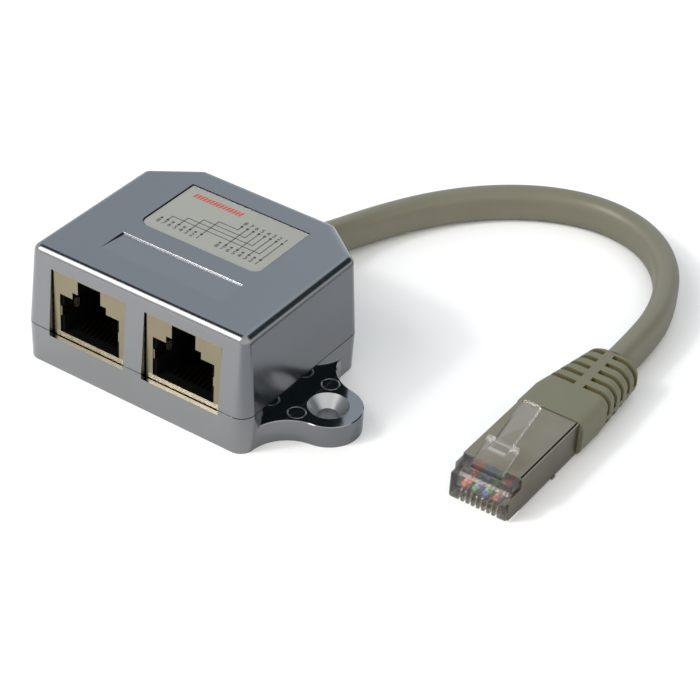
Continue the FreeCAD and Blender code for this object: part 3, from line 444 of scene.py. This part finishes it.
# Label: a matt printed polyester film in the cover's recess. It is printed with three rows of eight
# numbered pins, the lines that join them, and a heading of red bars.
label_film, shader = new_finish("matt printed film", Roughness=0.55, IOR=1.5)
mottled(label_film, shader, "#979790", "#8D8D86", 8.0)
dress(label_film, "wiring_label")

film_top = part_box("wiring_label")[1][2]
INK_THICKNESS = 0.00002
PIN_PITCH = 0.00125
PIN_COUNT = 8
PIN_DOT = 0.00028
LINE_WIDTH = 0.00016
DIGIT_TALL = 0.0011
DIGIT_TYPE_SIZE = DIGIT_TALL * 1.4
# Rows of pins: the first pin's place across, the row's place back, and the side its numbers are on
LEFT_ROW = (-0.0108, 0.0017, -1)
RIGHT_ROW = (0.0021, 0.0017, -1)
REAR_ROW = (0.0021, 0.0082, 1)
RED_BARS = 15
RED_START = (-0.0108, 0.0106)
RED_BAR = (0.00045, 0.0013)
RED_STEP = 0.00072
RED_SLANT = 0.00025


def ink_patch(ink, corners):
    """Adds one printed patch, with its corners counterclockwise, to a layer of ink."""
    ink.faces.new([ink.verts.new((x, y, film_top)) for x, y in corners])


def ink_line(ink, route):
    """Adds a line that runs straight along or across, with square ends that close its corners."""
    half = LINE_WIDTH / 2
    for (x0, y0), (x1, y1) in zip(route, route[1:]):
        left, right = sorted((x0, x1))
        near, far = sorted((y0, y1))
        ink_patch(ink, [(left - half, near - half), (right + half, near - half),
                        (right + half, far + half), (left - half, far + half)])


def printed(ink, name, light, dark):
    """Raises a layer of ink from the film and gives it its slightly uneven colour."""
    raised = bmesh.ops.extrude_face_region(ink, geom=ink.faces[:])
    tops = [part for part in raised["geom"] if isinstance(part, bmesh.types.BMVert)]
    bmesh.ops.translate(ink, verts=tops, vec=(0, 0, INK_THICKNESS))
    bmesh.ops.recalc_face_normals(ink, faces=ink.faces[:])
    colour, shader = new_finish(name + " screen ink", Roughness=0.5, IOR=1.5)
    mottled(colour, shader, light, dark, 0.8)
    piece_from(ink, name, colour)


black_ink = bmesh.new()
for first, back, outward in (LEFT_ROW, RIGHT_ROW, REAR_ROW):
    for pin in range(PIN_COUNT):
        across = first + pin * PIN_PITCH
        bmesh.ops.create_circle(black_ink, cap_ends=True, segments=10, radius=PIN_DOT,
                                matrix=Matrix.Translation((across, back, film_top)))
        writing = bpy.data.curves.new("pin number", "FONT")
        writing.body = str(PIN_COUNT - pin)
        writing.size = DIGIT_TYPE_SIZE
        writing.align_x = "CENTER"
        writing.align_y = "CENTER"
        writing.resolution_u = 2
        holder = bpy.data.objects.new("pin number", writing)
        digit = bpy.data.meshes.new_from_object(holder)
        digit.transform(Matrix.Translation((across, back + outward * DIGIT_TALL, film_top)))
        black_ink.from_mesh(digit)
        bpy.data.objects.remove(holder)
        bpy.data.meshes.remove(digit)
for pin in range(PIN_COUNT):
    start = (REAR_ROW[0] + pin * PIN_PITCH, REAR_ROW[1])
    if pin % 2:
        ink_line(black_ink, [start, (start[0], RIGHT_ROW[1])])
        continue
    turn = REAR_ROW[1] - (pin / 2 + 1) * PIN_PITCH
    end = LEFT_ROW[0] + (PIN_COUNT - 1 - pin) * PIN_PITCH
    ink_line(black_ink, [start, (start[0], turn), (end, turn), (end, LEFT_ROW[1])])
printed(black_ink, "label_diagram", "#333532", "#282A28")

red_ink = bmesh.new()
for bar in range(RED_BARS):
    left = RED_START[0] + bar * RED_STEP
    near = RED_START[1]
    wide, tall = RED_BAR
    ink_patch(red_ink, [(left, near), (left + wide, near), (left + wide + RED_SLANT, near + tall),
                        (left + RED_SLANT, near + tall)])
printed(red_ink, "label_heading", "#BD4431", "#B13B2A")


# Studio: a pale table in a bright tent, with a soft key light high in front on the left. Right of the
# housing the paper is painted darker for mirrored rays only: a painted shade that the plated parts
# show in their reflections, as under a grey card.
TABLE_RADIUS = 4.0
PAINTED_SHADE_EDGE = (0.015, 0.04)
PAPER_WHITE = (0.96, 0.96, 0.955, 1.0)
PAPER_SHADE = (0.55, 0.57, 0.6, 1.0)
table_top = bmesh.new()
bmesh.ops.create_circle(table_top, cap_ends=True, segments=96, radius=TABLE_RADIUS)
table_mesh = bpy.data.meshes.new("studio table")
table_top.to_mesh(table_mesh)
table_top.free()
table = bpy.data.objects.new("studio table", table_mesh)
bpy.context.scene.collection.objects.link(table)
table_finish, shader = new_finish("white studio paper", Roughness=0.8)
spot = add(table_finish, "TexCoord", {})
ground = add(table_finish, "SeparateXYZ", {"Vector": spot.outputs["Object"]})
to_right = add(table_finish, "MapRange", {
    "Value": ground.outputs["X"], "From Min": PAINTED_SHADE_EDGE[0], "From Max": PAINTED_SHADE_EDGE[1],
})
# painted shade: right of the housing the paper turns darker in glossy rays only
ray = add(table_finish, "LightPath", {})
mirrored = add(table_finish, "Math", {
    0: to_right.outputs["Result"], 1: ray.outputs["Is Glossy Ray"],
}, operation="MULTIPLY")
paper = add(table_finish, "Mix", {
    0: mirrored.outputs["Value"], 6: PAPER_WHITE, 7: PAPER_SHADE,
}, data_type="RGBA")
feed(table_finish, paper.outputs[2], shader, "Base Color")
table_mesh.materials.append(table_finish)

# Key: a square softbox in front on the left, high up, whose picture runs along the cover's front edge.
# The bare lamp in its middle gives the clear plastic its small white glints. Each lamp has its width,
# its watts and its distance.
KEY_AIM = Vector((-0.427, -0.591, 0.684)).normalized()
KEY_LAMPS = [("softbox", 0.7, 5.0, 1.1), ("bare lamp", 0.11, 2.4, 1.05)]
for name, size, power, distance in KEY_LAMPS:
    lamp = bpy.data.lights.new(name, "AREA")
    lamp.shape = "SQUARE"
    lamp.size = size
    lamp.energy = power
    light = bpy.data.objects.new(name, lamp)
    bpy.context.scene.collection.objects.link(light)
    light.location = KEY_AIM * distance
    light.rotation_euler = KEY_AIM.to_track_quat("Z", "Y").to_euler()

# Tent: white cloth, cooler and darker at the back on the left and brighter on the right, with two
# openings that the plating shows as dark bands. Each panel has its direction, the angles where it is
# full and gone, and its light.
TENT_CLOTH = (1.05, 1.05, 1.05, 1.0)
TENT_PANELS = [
    ((-0.427, 0.684, 0.591), 20, 60, (0.90, 0.99, 1.08)),
    ((-0.62, 0.58, 0.52), 2, 20, (0.70, 0.79, 0.87)),
    ((0.85, -0.45, 0.3), 25, 50, (1.30, 1.27, 1.2)),
    ((0.45, 0.684, 0.55), 19, 29, (0.04, 0.065, 0.075)),
    ((-0.47, 0.02, 0.88), 14, 22, (0.03, 0.035, 0.04)),
]
world = bpy.data.worlds.new("studio tent")
bpy.context.scene.world = world
world.use_nodes = True
bpy.context.scene.view_settings.view_transform = "Standard"
tent = world.node_tree.nodes["Background"]
facing = add(world, "TexCoord", {})


def patch(direction, inner, outer):
    """One in a round patch of the tent, fading to nothing at its outer angle."""
    near = add(world, "VectorMath", {
        0: facing.outputs["Generated"], 1: Vector(direction).normalized(),
    }, operation="DOT_PRODUCT")
    share = add(world, "MapRange", {
        "Value": near.outputs["Value"], "From Min": math.cos(math.radians(outer)),
        "From Max": math.cos(math.radians(inner)),
    }, interpolation_type="SMOOTHSTEP")
    return share.outputs["Result"]


cloth = TENT_CLOTH
for direction, inner, outer, tint in TENT_PANELS:
    panel = add(world, "Mix", {
        0: patch(direction, inner, outer), 6: cloth, 7: (*tint, 1.0),
    }, data_type="RGBA")
    cloth = panel.outputs[2]
world.node_tree.links.new(cloth, tent.inputs["Color"])
